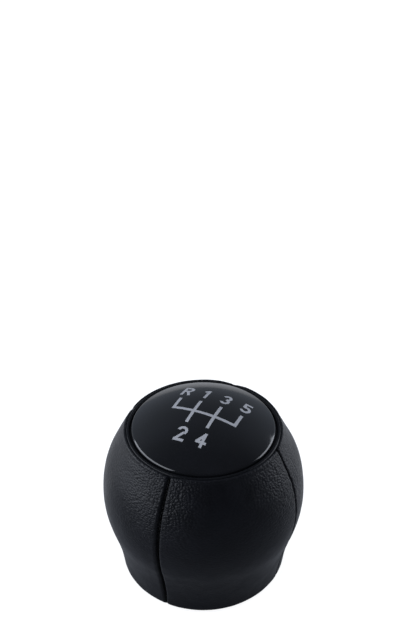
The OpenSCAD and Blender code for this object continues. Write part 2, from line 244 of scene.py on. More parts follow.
def turn_quarters(piece: Piece, quarters: int) -> None:
    """Turns a piece's mesh round the knob's axis by so many quarter turns."""
    piece.data.transform(Matrix.Rotation(quarters * QUARTER_TURN, 4, "Z"))


def quarter_copies(piece: Piece) -> list[Piece]:
    """Copies a piece three times round the knob's axis.

    Args:
        piece: The piece to copy.

    Returns:
        The piece and its copies, a quarter turn apart, each with its own mesh.
    """
    copies = [piece]
    for quarters in (1, 2, 3):
        copy = piece.copy()
        copy.data = piece.data.copy()
        turn_quarters(copy, quarters)
        bpy.context.collection.objects.link(copy)
        copies.append(copy)
    return copies


def join(main: Piece, others: Sequence[Piece]) -> None:
    """Joins other pieces into the main one.

    Args:
        main: The piece that stays.
        others: The pieces that become part of it.
    """
    pick_only(main)
    for other in others:
        other.select_set(True)
    bpy.ops.object.join()


def apply_modifier(piece: Piece, kind: str, **settings: object) -> None:
    """Adds a modifier with its settings and applies it at once.

    Args:
        piece: The piece that takes it.
        kind: The modifier's type, such as BEVEL.
        **settings: The modifier's own settings.
    """
    pick_only(piece)
    modifier = piece.modifiers.new(kind.title(), kind)
    for key, value in settings.items():
        setattr(modifier, key, value)
    bpy.ops.object.modifier_apply(modifier=modifier.name)


def bevel_edges(piece: Piece, width: float, segments: int = 2) -> None:
    """Rounds the sharp edges of a piece, by a width in millimetres."""
    apply_modifier(piece, "BEVEL", width=width * MM, segments=segments, limit_method="ANGLE")


def smooth(piece: Piece, angle: float = 40) -> None:
    """Shades a piece smooth across edges flatter than an angle in degrees."""
    pick_only(piece)
    bpy.ops.object.shade_smooth_by_angle(angle=math.radians(angle))


# ---------------------------------------------------------------- material helpers


def linear(colour: str) -> tuple[float, float, float, float]:
    """Turns an sRGB hex colour such as #1d1e21 to linear red, green, blue and alpha."""
    parts = [int(colour[i:i + 2], 16) / 255 for i in (1, 3, 5)]
    return (*(p / 12.92 if p <= 0.04045 else ((p + 0.055) / 1.055) ** 2.4 for p in parts), 1.0)


def per_mm(size: float) -> float:
    """Returns the texture scale that makes one cell of a pattern this many millimetres."""
    return 1 / (size * MM)


def waves_per_mm(size: float) -> float:
    """Returns the wave texture's scale that makes one wave this many millimetres long."""
    return math.tau * per_mm(size) / WAVE_RADIANS


def feed(tree: Tree, node: bpy.types.Node, inputs: Mapping[str | int, object]) -> None:
    """Fills a node's inputs.

    Args:
        tree: The node's tree.
        node: The node, such as a material's main shader.
        inputs: Each input's name or number, with its value or the socket that feeds it.
    """
    for key, value in inputs.items():
        if isinstance(value, Socket):
            tree.links.new(value, node.inputs[key])
        else:
            node.inputs[key].default_value = value


def add_node(
    tree: Tree,
    kind: str,
    inputs: Mapping[str | int, object] | None = None,
    stops: Sequence[tuple[float, str]] = (),
    **settings: object,
) -> bpy.types.Node:
    """Adds a node with its settings and links.

    Args:
        tree: The node tree that takes it.
        kind: The node's type.
        inputs: Each input's name or number, with its value or the socket that feeds it.
        stops: The places and sRGB hex colours of a colour ramp's stops.
        **settings: The node's own settings.

    Returns:
        The new node.
    """
    node = tree.nodes.new(kind)
    for key, value in settings.items():
        setattr(node, key, value)
    feed(tree, node, inputs or {})
    if stops:
        elements = node.color_ramp.elements
        while len(elements) < len(stops):
            elements.new(1.0)
        for element, (place, colour) in zip(elements, stops):
            element.position, element.color = place, linear(colour)
    return node


def new_material(name: str) -> tuple[bpy.types.Material, Tree, bpy.types.Node, Socket]:
    """Makes a material.

    Args:
        name: The material's name.

    Returns:
        The material, its node tree, its main shader and the place on the object.
    """
    material = bpy.data.materials.new(name)
    material.use_nodes = True
    tree = material.node_tree
    place = add_node(tree, "ShaderNodeTexCoord").outputs["Object"]
    return material, tree, tree.nodes["Principled BSDF"], place


@dataclass(frozen=True)
class MouldedFinish:
    """A plain moulded, sprayed or printed finish with a fine texture and a faint mottle."""

    name: str
    colour: str
    colour_shade: str
    roughness: float
    grain_mm: float
    grain_depth_mm: float
    mottle_mm: float = 9.0
    mottle_band: Span = (0.35, 0.65)
    roughness_spread: float = 0.06
    ior: float = 1.5
    specular: float = 0.5

    def build(self) -> bpy.types.Material:
        """Makes the material.

        Returns:
            Two close shades, an uneven gloss and a fine relief.
        """
        material, tree, shader, place = new_material(self.name)
        mottle = add_node(tree, "ShaderNodeTexNoise", {
            "Vector": place, "Scale": per_mm(self.mottle_mm), "Detail": 3.0})
        grain = add_node(tree, "ShaderNodeTexNoise", {
            "Vector": place, "Scale": per_mm(self.grain_mm), "Detail": 2.0})
        colour = add_node(tree, "ShaderNodeValToRGB", {0: mottle.outputs["Fac"]}, stops=list(
            zip(self.mottle_band, (self.colour_shade, self.colour))))
        gloss = add_node(tree, "ShaderNodeMapRange", {
            "Value": mottle.outputs["Fac"],
            "To Min": self.roughness - self.roughness_spread,
            "To Max": self.roughness + self.roughness_spread})
        bump = add_node(tree, "ShaderNodeBump", {
            "Height": grain.outputs["Fac"], "Strength": 1.0, "Distance": self.grain_depth_mm * MM})
        feed(tree, shader, {
            "Base Color": colour.outputs["Color"], "Roughness": gloss.outputs["Result"],
            "Normal": bump.outputs["Normal"], "IOR": self.ior,
            "Specular IOR Level": self.specular})
        return material


# Injection-moulded ABS with a polished tool face: deep black, a mirror with faint waves.
CAP_GLOSS = MouldedFinish(
    "polished_black_ABS", "#0f1013", "#0d0e10", roughness=0.13, grain_mm=6.0,
    grain_depth_mm=0.004, roughness_spread=0.02, specular=0.36)
# Satin moulded ABS: nearly black, with a soft, broad highlight.
RING_SATIN = MouldedFinish(
    "satin_black_ABS", "#090a0d", "#07080b", roughness=0.4, grain_mm=0.25,
    grain_depth_mm=0.006, specular=0.14)
# Two-shot or filled print in acrylic lacquer: light grey, nearly matt.
PRINT_FILL = MouldedFinish(
    "light_grey_lacquer_print", "#85868a", "#7d7e82", roughness=0.42, grain_mm=0.2,
    grain_depth_mm=0.004)
# Glass-filled nylon as moulded: dark grey, cloudy where the fibres come to the surface.
CORE_NYLON = MouldedFinish(
    "glass_filled_nylon", "#3e4042", "#323436", roughness=0.55, grain_mm=0.35,
    grain_depth_mm=0.02, mottle_mm=4.0)
# ABS with a spark-eroded tool face: black, evenly matt with a fine orange-peel.
BASE_EROSION = MouldedFinish(
    "spark_eroded_black_ABS", "#1c1c1e", "#18181a", roughness=0.58, grain_mm=0.22,
    grain_depth_mm=0.02)
# Open-cell polyurethane foam: soft grey with fine cells.
FOAM_CELLS = MouldedFinish(
    "open_cell_PU_foam", "#58585a", "#3c3c3e", roughness=0.9, grain_mm=0.4,
    grain_depth_mm=0.2, mottle_mm=2.0)


@dataclass(frozen=True)
class GrainedLeather:
    """Corrected-grain cowhide with a sprayed topcoat: deep black, semi-matt, finely pebbled.

    A least value is what stays of an effect away from the gathered skin by the upper seams.
    """

    name: str = "grained_black_leather"
    colour_low: str = "#08090c"
    colour_high: str = "#0c0d11"
    tone_mm: float = 5.0
    tone_band: Span = (0.3, 0.7)
    roughness: float = 0.42
    roughness_spread: Span = (-0.04, 0.05)
    ior: float = 1.5
    specular: float = 0.16
    sheen: float = 0.1
    sheen_roughness: float = 0.3
    pebble_mm: float = 0.5
    pebble_stretch: float = 1.5
    pebble_randomness: float = 0.9
    pebble_softness: float = 0.4
    pebble_depth_mm: float = 0.16
    pebble_least: float = 0.12
    wrinkle_mm: float = 0.4
    wrinkle_stretch: float = 2.0
    wrinkle_bend: float = 0.4
    wrinkle_depth_mm: float = 0.24
    gather_reach_mm: Span = (1.0, 14.0)
    gather_height_mm: Span = (20.0, 33.0)
    gather_least: float = 0.25
    patch_mm: float = 7.0
    patch_least: float = 0.35
    mean_radius_mm: float = 23.0

    def around(self, tree: Tree, place: Socket) -> tuple[Socket, Socket, Socket]:
        """Adds coordinates that run round the knob.

        Args:
            tree: The node tree that takes them.
            place: The place on the object.

        Returns:
            The place as arc length and height, the distance to the nearest seam plane, and
            the height.
        """
        parts = add_node(tree, "ShaderNodeSeparateXYZ", {0: place}).outputs
        turn = add_node(tree, "ShaderNodeMath", {
            0: parts["Y"], 1: parts["X"]}, operation="ARCTAN2")
        length = add_node(tree, "ShaderNodeMath", {
            0: turn.outputs[0], 1: self.mean_radius_mm * MM}, operation="MULTIPLY")
        flat = add_node(tree, "ShaderNodeCombineXYZ", {"X": length.outputs[0], "Y": parts["Z"]})
        across, along = (
            add_node(tree, "ShaderNodeMath", {0: parts[axis]}, operation="ABSOLUTE").outputs[0]
            for axis in ("X", "Y"))
        seam = add_node(tree, "ShaderNodeMath", {0: across, 1: along}, operation="MINIMUM")
        return flat.outputs[0], seam.outputs[0], parts["Z"]

    def build(self) -> bpy.types.Material:
        """Makes the material.

        Returns:
            A pebbled grain, with drawn-out wrinkles beside the upper seams.
        """
        material, tree, shader, place = new_material(self.name)
        flat, seam, height = self.around(tree, place)

        # How strongly the grain stands out: full in the gathered skin beside the upper seams
        near, far = self.gather_reach_mm
        beside = add_node(tree, "ShaderNodeMapRange", {
            "Value": seam, "From Min": near * MM, "From Max": far * MM,
            "To Min": 1.0, "To Max": self.gather_least}, interpolation_type="SMOOTHSTEP")
        low, high = self.gather_height_mm
        upper = add_node(tree, "ShaderNodeMapRange", {
            "Value": height, "From Min": low * MM, "From Max": high * MM},
            interpolation_type="SMOOTHSTEP")
        gathered = add_node(tree, "ShaderNodeMath", {
            0: beside.outputs["Result"], 1: upper.outputs["Result"]}, operation="MULTIPLY")
        patch = add_node(tree, "ShaderNodeTexNoise", {
            "Vector": place, "Scale": per_mm(self.patch_mm), "Detail": 1.0})
        uneven = add_node(tree, "ShaderNodeMapRange", {
            "Value": patch.outputs["Fac"], "To Min": self.patch_least})
        patchy = add_node(tree, "ShaderNodeMath", {
            0: gathered.outputs[0], 1: uneven.outputs["Result"]}, operation="MULTIPLY")

        # Pebbles of the hide's grain at their real size, drawn deeper than life so that they show
        rows = add_node(tree, "ShaderNodeMapping", {
            "Vector": flat, "Scale": (1 / self.pebble_stretch, 1.0, 1.0)})
        pebble = add_node(tree, "ShaderNodeTexVoronoi", {
            "Vector": rows.outputs[0], "Scale": per_mm(self.pebble_mm),
            "Randomness": self.pebble_randomness, "Smoothness": self.pebble_softness},
            feature="SMOOTH_F1", voronoi_dimensions="2D")
        share = add_node(tree, "ShaderNodeMapRange", {
            "Value": gathered.outputs[0], "To Min": self.pebble_least, "To Max": 1.0})
        pebble_relief = add_node(tree, "ShaderNodeMath", {
            0: pebble.outputs["Distance"], 1: share.outputs["Result"]}, operation="MULTIPLY")
        pebbles = add_node(tree, "ShaderNodeBump", {
            "Height": pebble_relief.outputs[0], "Strength": 1.0,
            "Distance": self.pebble_depth_mm * MM}, invert=True)

        # Wrinkles, drawn out across the seams where the sewing pulls the skin together
        stretched = add_node(tree, "ShaderNodeMapping", {
            "Vector": flat, "Scale": (1 / self.wrinkle_stretch, 1.0, 1.0)})
        wrinkle = add_node(tree, "ShaderNodeTexNoise", {
            "Vector": stretched.outputs[0], "Scale": per_mm(self.wrinkle_mm), "Detail": 2.0,
            "Distortion": self.wrinkle_bend})
        relief = add_node(tree, "ShaderNodeMath", {
            0: wrinkle.outputs["Fac"], 1: patchy.outputs[0]}, operation="MULTIPLY")
        bump = add_node(tree, "ShaderNodeBump", {
            "Height": relief.outputs[0], "Strength": 1.0,
            "Distance": self.wrinkle_depth_mm * MM, "Normal": pebbles.outputs["Normal"]})

        tone = add_node(tree, "ShaderNodeTexNoise", {
            "Vector": place, "Scale": per_mm(self.tone_mm), "Detail": 4.0})
        colour = add_node(tree, "ShaderNodeValToRGB", {0: tone.outputs["Fac"]}, stops=list(
            zip(self.tone_band, (self.colour_low, self.colour_high))))
        glossier, duller = self.roughness_spread
        gloss = add_node(tree, "ShaderNodeMapRange", {
            "Value": tone.outputs["Fac"],
            "From Min": self.tone_band[0], "From Max": self.tone_band[1],
            "To Min": self.roughness + glossier, "To Max": self.roughness + duller})
        feed(tree, shader, {
            "Base Color": colour.outputs["Color"], "Roughness": gloss.outputs["Result"],
            "Normal": bump.outputs["Normal"], "IOR": self.ior,
            "Specular IOR Level": self.specular, "Sheen Weight": self.sheen,
            "Sheen Roughness": self.sheen_roughness})
        return material


@dataclass(frozen=True)
class BondedThread:
    """Bonded polyester sewing thread: black twisted plies with a thin coat's waxy half-gloss."""

    name: str = "bonded_polyester_thread"
    colour: str = "#151515"
    painted_groove_shade: str = "#0c0c0c"
    roughness: float = 0.5
    ior: float = 1.5
    twist_mm: float = 2.513
    twist_slant: Direction = (0.6, 0.6, 0.0)
    twist_bend: float = 0.5
    ply_strength: float = 0.8
    ply_depth_mm: float = 0.05

    def build(self) -> bpy.types.Material:
        """Makes the material.

        Returns:
            Slanting plies as a relief, with painted shade between them.
        """
        material, tree, shader, place = new_material(self.name)
        slant = add_node(tree, "ShaderNodeMapping", {
            "Vector": place, "Rotation": self.twist_slant})
        plies = add_node(tree, "ShaderNodeTexWave", {
            "Vector": slant.outputs[0], "Scale": waves_per_mm(self.twist_mm),
            "Distortion": self.twist_bend}, bands_direction="Z")
        bump = add_node(tree, "ShaderNodeBump", {
            "Height": plies.outputs["Fac"], "Strength": self.ply_strength,
            "Distance": self.ply_depth_mm * MM})
        # Painted shade: the colour darkens in the grooves between the plies, where the relief is
        # low.
        colour = add_node(tree, "ShaderNodeValToRGB", {0: plies.outputs["Fac"]}, stops=[
            (0.0, self.painted_groove_shade), (1.0, self.colour)])
        feed(tree, shader, {
            "Base Color": colour.outputs["Color"], "Roughness": self.roughness,
            "Normal": bump.outputs["Normal"], "IOR": self.ior})
        return material


@dataclass(frozen=True)
class TurnedBrass:
    """Free-cutting brass, turned and tapped: yellow metal with fine rings from the tool.

    The rings are some 0.15 mm apart in life, and are drawn coarser so that they show.
    """

    name: str = "turned_brass"
    colour: str = "#c9a25a"
    colour_dull: str = "#a8843f"
    tarnish_mm: float = 3.0
    tarnish_band: Span = (0.35, 0.6)
    roughness_dull: float = 0.42
    roughness_bright: float = 0.22
    ring_mm: float = 0.9425
    ring_strength: float = 0.4
    ring_depth_mm: float = 0.01

    def build(self) -> bpy.types.Material:
        """Makes the material.

        Returns:
            Tool rings as a relief, and a slight uneven tarnish.
        """
        material, tree, shader, place = new_material(self.name)
        rings = add_node(tree, "ShaderNodeTexWave", {
            "Vector": place, "Scale": waves_per_mm(self.ring_mm)}, bands_direction="Z")
        tarnish = add_node(tree, "ShaderNodeTexNoise", {
            "Vector": place, "Scale": per_mm(self.tarnish_mm), "Detail": 4.0})
        bump = add_node(tree, "ShaderNodeBump", {
            "Height": rings.outputs["Fac"], "Strength": self.ring_strength,
            "Distance": self.ring_depth_mm * MM})
        colour = add_node(tree, "ShaderNodeValToRGB", {0: tarnish.outputs["Fac"]}, stops=list(
            zip(self.tarnish_band, (self.colour_dull, self.colour))))
        gloss = add_node(tree, "ShaderNodeMapRange", {
            "Value": tarnish.outputs["Fac"],
            "To Min": self.roughness_dull, "To Max": self.roughness_bright})
        feed(tree, shader, {
            "Base Color": colour.outputs["Color"], "Roughness": gloss.outputs["Result"],
            "Normal": bump.outputs["Normal"], "Metallic": 1.0})
        return material


def dress(piece: Piece, material: bpy.types.Material) -> None:
    """Gives a piece or a CAD node one material."""
    piece.data.materials.clear()
    piece.data.materials.append(material)


def seat(piece: Piece, material: bpy.types.Material, slot: str, *nodes: str) -> None:
    """Finishes a new piece: its material, its body and the CAD nodes it stands for.

    Args:
        piece: The new piece.
        material: Its material.
        slot: A material slot's name; not used.
        *nodes: The CAD nodes that it replaces.
    """
    dress(piece, material)
    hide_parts(*nodes)
    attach(piece, BODY)
    LOG.info("%s: %d faces, stands for %s", piece.name, len(piece.data.polygons), ", ".join(nodes))


# ---------------------------------------------------------------- the knob's form


@dataclass(frozen=True)
class Extent:
    """How far a turned CAD node reaches, in millimetres."""

    radius: float
    low: float
    high: float

    @classmethod
    def of(cls, node: str) -> "Extent":
        """Returns the reach of a CAD node round the knob's axis."""
        low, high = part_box(node)
        return cls(high.x / MM, low.z / MM, high.z / MM)


@dataclass(frozen=True)
class GripCurve:
    """The grip's side curve: an arc over the belly and a hollow flare below, in millimetres."""

    belly_arc: float = 33.0
    belly_height: float = 24.5
    flare_arc: float = 70.0
    flare_height: float = 15.26
    widest: float = 25.0

    @property
    def belly_centre(self) -> Point:
        """Middle of the belly's arc."""
        return self.widest - self.belly_arc, self.belly_height

    @property
    def slope(self) -> float:
        """Rise from the belly's middle to the place where the arcs meet, as a share of its arc."""
        return (self.flare_height - self.belly_height) / self.belly_arc

    @property
    def flare_centre(self) -> Point:
        """Middle of the flare's hollow arc, in line with the belly's where the two meet."""
        reach = self.belly_arc + self.flare_arc
        return (self.belly_centre[0] + reach * math.sqrt(1 - self.slope ** 2),
                self.belly_height + reach * self.slope)

    def radius(self, height: float, depth: float = 0.0) -> float:
        """Finds the grip's radius.

        Args:
            height: Height above the base.
            depth: Depth below the leather's outer face.

        Returns:
            The distance from the knob's axis.
        """
        if height >= self.belly_height + (self.belly_arc - depth) * self.slope:
            return self.belly_centre[0] + math.sqrt(
                (self.belly_arc - depth) ** 2 - (height - self.belly_height) ** 2)
        return self.flare_centre[0] - math.sqrt(
            (self.flare_arc + depth) ** 2 - (height - self.flare_centre[1]) ** 2)

    def outward(self, radius: float, height: float) -> Point:
        """Finds which way the outer face looks.

        Args:
            radius: Distance of the place from the knob's axis.
            height: Its height above the base.

        Returns:
            The normal, as its parts along the radius and up.
        """
        if height >= self.flare_height:
            away = (radius - self.belly_centre[0], height - self.belly_centre[1])
        else:
            away = (self.flare_centre[0] - radius, self.flare_centre[1] - height)
        size = math.hypot(*away)
        return away[0] / size, away[1] / size


class Quarter(Enum):
    """The four quarters between the seams, with their quarter turns from the back right."""

    BACK_RIGHT = 0
    BACK_LEFT = 1
    FRONT_LEFT = 2
    FRONT_RIGHT = 3

    @property
    def label(self) -> str:
        """The quarter's name as it ends a CAD node's name."""
        return self.name.lower()


@dataclass
class LeatherPanel:
    """One sewn leather panel: skin, turned-in edges along its seams, tucked top and hem.

    Lengths are in millimetres and angles in degrees. The skin rounds over a shoulder into
    each seam's valley. Both grow from their end values, at the base and the top, to their
    full ones halfway up. The pull is each seam's share of them: right, back, left and front.
    The slack is the shallow hollow under the ring, and the lean is the seams' own twist.
    """

    quarter: Quarter
    curve: GripCurve
    ring: Extent
    base: Extent
    thickness: float = 1.2
    fold_depth: float = 3.2
    tuck: float = 2.4
    ring_gap: float = 0.15
    hem_round: float = 1.9
    hem_turn: Span = (-90, -8)
    hem_steps: int = 8
    lip_roll: float = 0.62
    lip_turn: Span = (18, 96)
    lip_steps: int = 5
    clamp_drop: float = 1.6
    base_step: float = 1.2
    outer_steps: int = 72
    inner_steps: int = 40
    edge_turn: float = 5.5
    edge_steps: int = 10
    middle_steps: int = 56
    fold_steps: int = 5
    seam_gap: float = 0.5
    hem_gap: float = 0.2
    hem_fade: float = 6.0
    seam_pull: tuple[float, float, float, float] = (0.6, 0.8, 0.8, 1.0)
    shoulder: float = 1.05
    shoulder_end: float = 0.9
    valley: float = 2.7
    valley_end: float = 2.0
    slack: float = 0.3
    slack_height: float = 39.5
    slack_reach: float = 3.5
    corner_lift: float = 0.12
    corner_drop: float = 0.4
    corner_reach: float = 2.4
    pucker: float = 0.05
    pucker_reach: float = 1.6
    pucker_low: float = 4.0
    pucker_high: float = 15.0
    stitch_pitch: float = 3.2
    snug: float = 0.05
    swell: float = 0.10
    swell_size: float = 9.0
    swell_reach: float = 3.0
    ripple: float = 0.035
    ripple_size: float = 2.2
    hide_shift: Direction = (13.0, 7.0, 29.0)
    lean_low: float = -2.0
    lean_high: float = 0.7
    lean_curve: float = 2.5

    @property
    def node(self) -> str:
        """The CAD node that the panel stands for."""
        return f"leather_{self.quarter.label}"

    def outline(self) -> tuple[list[Point], int]:
        """Lays out the panel's section.

        Returns:
            Its corners in order, and how many of the first ones are on the outer face.
        """
        extent = Extent.of(self.node)
        hem = (self.curve.radius(extent.low + self.hem_round) - self.hem_round,
               extent.low + self.hem_round)
        lip = self.ring.radius + self.ring_gap
        clamp = self.ring.high - self.clamp_drop
        tuck_top = self.ring.radius - self.tuck
        tuck_base = self.base.radius - self.tuck
        floor = self.base_step + self.thickness
        roll = extent.high - self.lip_roll
        outer = arc(hem, self.hem_round, *self.hem_turn, self.hem_steps)
        outer += [(self.curve.radius(h), h) for h in spread(hem[1], roll, self.outer_steps)]
        top = (self.curve.radius(roll) - self.lip_roll, roll)
        outer += arc(top, self.lip_roll, *self.lip_turn, self.lip_steps)
        inner = [(lip, clamp + self.lip_roll), (lip, clamp), (tuck_top, clamp),
                 (tuck_top, clamp - self.thickness)]
        inner += [(self.curve.radius(h, self.thickness), h)
                  for h in spread(clamp - self.thickness, floor, self.inner_steps)]
        inner += [(tuck_base, floor), (tuck_base, self.base_step),
                  (self.base.radius + self.ring_gap, self.base_step),
                  (self.base.radius + self.ring_gap, extent.low)]
        return outer + inner, len(outer)

    def build(self) -> Piece:
        """Makes the panel.

        Returns:
            The finished panel, in its place.
        """
        points, outer = self.outline()
        panel = section(f"panel_{self.quarter.label}", points)
        face = panel.vertex_groups.new(name="outer_face")
        face.add(list(range(outer)), 1.0, "REPLACE")
        with editing(panel):
            select_all()
            edge = (self.edge_steps, self.edge_turn)
            middle = (self.middle_steps, 90 - 2 * self.edge_turn)
            for steps, turn in (edge, middle, edge):
                spin(steps, turn)
            clean(close=True)
        self.turn_in_edges(panel)
        self.shape_skin(panel)
        self.lean_seams(panel)
        turn_quarters(panel, self.quarter.value)
        smooth(panel, angle=55)
        return panel

    def turn_in_edges(self, panel: Piece) -> None:
        """Extrudes the two folds inwards, from the inner face beside each seam.

        Args:
            panel: The spun panel, before its quarter turn.
        """
        strip = math.radians(self.edge_turn * self.fold_steps / self.edge_steps)
        low = (self.base_step + self.thickness) * MM
        high = (self.ring.high - self.clamp_drop - self.thickness) * MM

        def beside_seam(face: Face) -> bool:
            """Tells whether a face lies on the inner side, next to a seam but not in it.

            Args:
                face: One of the panel's faces.

            Returns:
                Whether the fold starts from it.
            """
            spot = face.calc_center_median()
            turn = math.atan2(spot.y, spot.x)
            inwards = face.normal.x * spot.x + face.normal.y * spot.y < 0
            beside = SEAM_FACE_TURN < min(turn, QUARTER_TURN - turn) < strip
            return inwards and beside and low < spot.z < high and len(face.verts) == 4

        with editing(panel, Pick.FACES) as mesh:
            pick_faces(panel, mesh, beside_seam)
            bpy.ops.mesh.extrude_region_shrink_fatten(
                TRANSFORM_OT_shrink_fatten={"value": (self.fold_depth - self.thickness) * MM})

    def shape_skin(self, panel: Piece) -> None:
        """Opens the seams' gaps, rounds the skin down into them and lets it swell a little.

        Args:
            panel: The panel with its folds, before its quarter turn.
        """
        top = Extent.of(self.node).high
        for vertex in panel.data.vertices:
            place = vertex.co / MM
            closed = min(place.z / self.hem_fade, 1)
            side = (self.hem_gap + (self.seam_gap - self.hem_gap) * closed) / 2
            if place.y < side:
                vertex.co.y = side * MM
            if place.x < side:
                vertex.co.x = side * MM
            if not vertex.groups:
                continue
            radius = math.hypot(place.x, place.y)
            away = self.curve.outward(radius, place.z)
            seam = max(min(place.x, place.y), side)
            corner = math.exp(-(seam / self.corner_reach) ** 2
                              - ((top - place.z) / self.corner_reach) ** 2)
            slack = self.slack * math.exp(
                -((place.z - self.slack_height) / self.slack_reach) ** 2)
            raised = self.relief(place, seam) + self.corner_lift * corner
            move = raised - self.seam_drop(place, seam, top) * closed - slack - self.snug
            flat = Vector((place.x, place.y, 0)) / radius * away[0]
            vertex.co += (flat + Vector((0, 0, away[1]))) * move * MM
            vertex.co.z -= self.corner_drop * corner * MM

    def seam_drop(self, place: Vector, seam: float, top: float) -> float:
        """Finds how far the skin dips beside a seam.

        Args:
            place: A place on the outer face.
            seam: Its distance from the nearest seam's plane.
            top: Height of the panel's top.

        Returns:
            The depth below the side curve: full in the seam, none beyond its shoulder.
        """
        pull = self.seam_pull[(self.quarter.value + (place.x < place.y)) % 4]
        middle = math.sin(math.pi * min(max(place.z / top, 0), 1))
        shoulder = (self.shoulder_end + (self.shoulder - self.shoulder_end) * middle) * pull
        valley = (self.valley_end + (self.valley - self.valley_end) * middle) * pull
        steep = max(1 - seam / shoulder, 0)
        return valley * (1 - math.sqrt(1 - steep ** 2))

    def relief(self, place: Vector, seam: float) -> float:
        """Finds how far the skin stands out of the side curve.

        Args:
            place: A place on the outer face.
            seam: Its distance from the nearest seam's plane.

        Returns:
            The hide's swell and ripples with the gathers between the stitches.
        """
        fade = min(max((place.z - self.pucker_low) / (self.pucker_high - self.pucker_low), 0), 1)
        stitch = math.cos(math.tau * place.z / self.stitch_pitch)
        gather = self.pucker * stitch * math.exp(-seam / self.pucker_reach) * fade
        spot = place + Vector(self.hide_shift) * self.quarter.value
        swell = noise.noise(spot / self.swell_size) * self.swell * min(seam / self.swell_reach, 1)
        ripple = noise.noise(spot / self.ripple_size) * self.ripple
        return swell + ripple + gather

    def lean_seams(self, panel: Piece) -> None:
        """Turns the skin a little more with height, as hand-drawn leather leans.

        Args:
            panel: The shaped panel, before its quarter turn.
        """
        extent = Extent.of(self.node)
        for vertex in panel.data.vertices:
            share = (vertex.co.z / MM - extent.low) / (extent.high - extent.low)
            rise = (self.lean_high - self.lean_low) * max(share, 0) ** self.lean_curve
            vertex.co.rotate(Matrix.Rotation(math.radians(self.lean_low + rise), 3, "Z"))


@dataclass
class FoamPad:
    """The thin foam pad behind one leather panel."""

    quarter: Quarter
    curve: GripCurve
    depth: float = 1.3
    thickness: float = 1.4
    soft_edge: float = 0.35
    seam_side: float = 1.95
    steps: int = 36

    @property
    def node(self) -> str:
        """The CAD node that the pad stands for."""
        return f"foam_{self.quarter.label}"

    def build(self) -> Piece:
        """Makes the pad.

        Returns:
            A spun strip of foam, trimmed beside its seams and softly edged.
        """
        extent = Extent.of(self.node)
        heights = spread(extent.low, extent.high, self.steps)
        outer = [(self.curve.radius(h, self.depth), h) for h in heights]
        inner = [(self.curve.radius(h, self.depth + self.thickness), h)
                 for h in reversed(heights)]
        pad = section(f"pad_{self.quarter.label}", outer + inner)
        with editing(pad):
            select_all()
            spin(self.steps, 90)
            clean(close=True)
            for side in ((0, 1, 0), (1, 0, 0)):
                select_all()
                bpy.ops.mesh.bisect(plane_co=Vector(side) * self.seam_side * MM, plane_no=side,
                                    use_fill=True, clear_inner=True)
            clean()
        turn_quarters(pad, self.quarter.value)
        bevel_edges(pad, self.soft_edge, segments=3)
        smooth(pad, angle=50)
        return pad


@dataclass(frozen=True)
class SnapHook:
    """A snap leg with an outward nose, in millimetres."""

    thickness: float = 1.4
    width: float = 5.0
    nose: float = 0.7
    nose_height: float = 1.6
    nose_land: float = 1 / 3
    edge_round: float = 0.12

    def build(self, name: str, radius: float, root: float, catch: float) -> list[Piece]:
        """Makes four hooks.

        Args:
            name: Name of the pieces, until they are joined to what carries them.
            radius: Radius of the shank's outer face.
            root: Height at which the shank starts.
            catch: Height of the nose's catching face.

        Returns:
            The hooks, a quarter turn apart.
        """
        way = 1 if root < catch else -1
        end = catch + way * self.nose_height
        inner = radius - self.thickness
        tip = radius + self.nose
        points = [(inner, root), (radius, root), (radius, catch), (tip, catch),
                  (tip, catch + way * self.nose_height * self.nose_land), (radius, end),
                  (inner, end)]
        hook = slab(name, points, self.width)
        bevel_edges(hook, self.edge_round)
        return quarter_copies(hook)


@dataclass
class Cap:
    """The glossy domed cap with its rounded rim and four snap legs."""

    ring: Extent
    dome: float = 34.0
    wall: float = 2.0
    rim_round: float = 0.9
    seat_drop: float = 0.8
    leg_radius_in: float = 5.1
    catch: float = 38.2
    hook: SnapHook = SnapHook()

    def build(self) -> Piece:
        """Makes the cap.

        Returns:
            One turned dome with its legs.
        """
        extent = Extent.of("cap")
        middle = extent.high - self.dome
        seat_height = self.ring.high - self.seat_drop
        rim_radius = extent.radius - self.rim_round
        rim_rise = math.sqrt((self.dome - self.rim_round) ** 2 - rim_radius ** 2)
        rim = (rim_radius, middle + rim_rise)
        lean = math.degrees(math.atan2(rim[1] - middle, rim[0]))
        inside = self.dome - self.wall
        low = math.degrees(math.asin((seat_height - middle) / inside))
        points = arc((0, middle), self.dome, 90, lean, steps=40)
        points += arc(rim, self.rim_round, lean, 0, steps=10)[1:]
        points += [(extent.radius, seat_height)]
        points += arc((0, middle), inside, low, 90, steps=30)
        cap = lathe("cap_dome", points, steps=160)
        leg_radius = self.ring.radius - self.leg_radius_in
        root = middle + math.sqrt((self.dome - self.wall / 2) ** 2 - leg_radius ** 2)
        join(cap, self.hook.build("leg", leg_radius, root, self.catch))
        smooth(cap)
        return cap


@dataclass
class TrimRing:
    """The satin ring round the cap: rounded bezel, clamping flange and centring skirt."""

    extent: Extent
    bezel: float = 0.9
    bezel_height: float = 0.8
    flange: float = 0.8
    skirt_in: float = 3.0
    skirt: float = 1.2

    def build(self) -> Piece:
        """Makes the ring.

        Returns:
            Bezel, flange and skirt, turned in one piece.
        """
        outer, top = self.extent.radius, self.extent.high
        seat_height = top - self.bezel_height
        clamp = seat_height - self.flange
        skirt = outer - self.skirt_in
        crown = self.bezel / 2
        points = [(skirt - self.skirt, self.extent.low), (skirt, self.extent.low), (skirt, clamp),
                  (outer, clamp)]
        points += arc((outer - crown, top - crown), crown, 0, 180, steps=14)
        points += [(outer - self.bezel, seat_height), (skirt - self.skirt, seat_height)]
        ring = lathe("bezel_ring", points, steps=160)
        smooth(ring)
        return ring


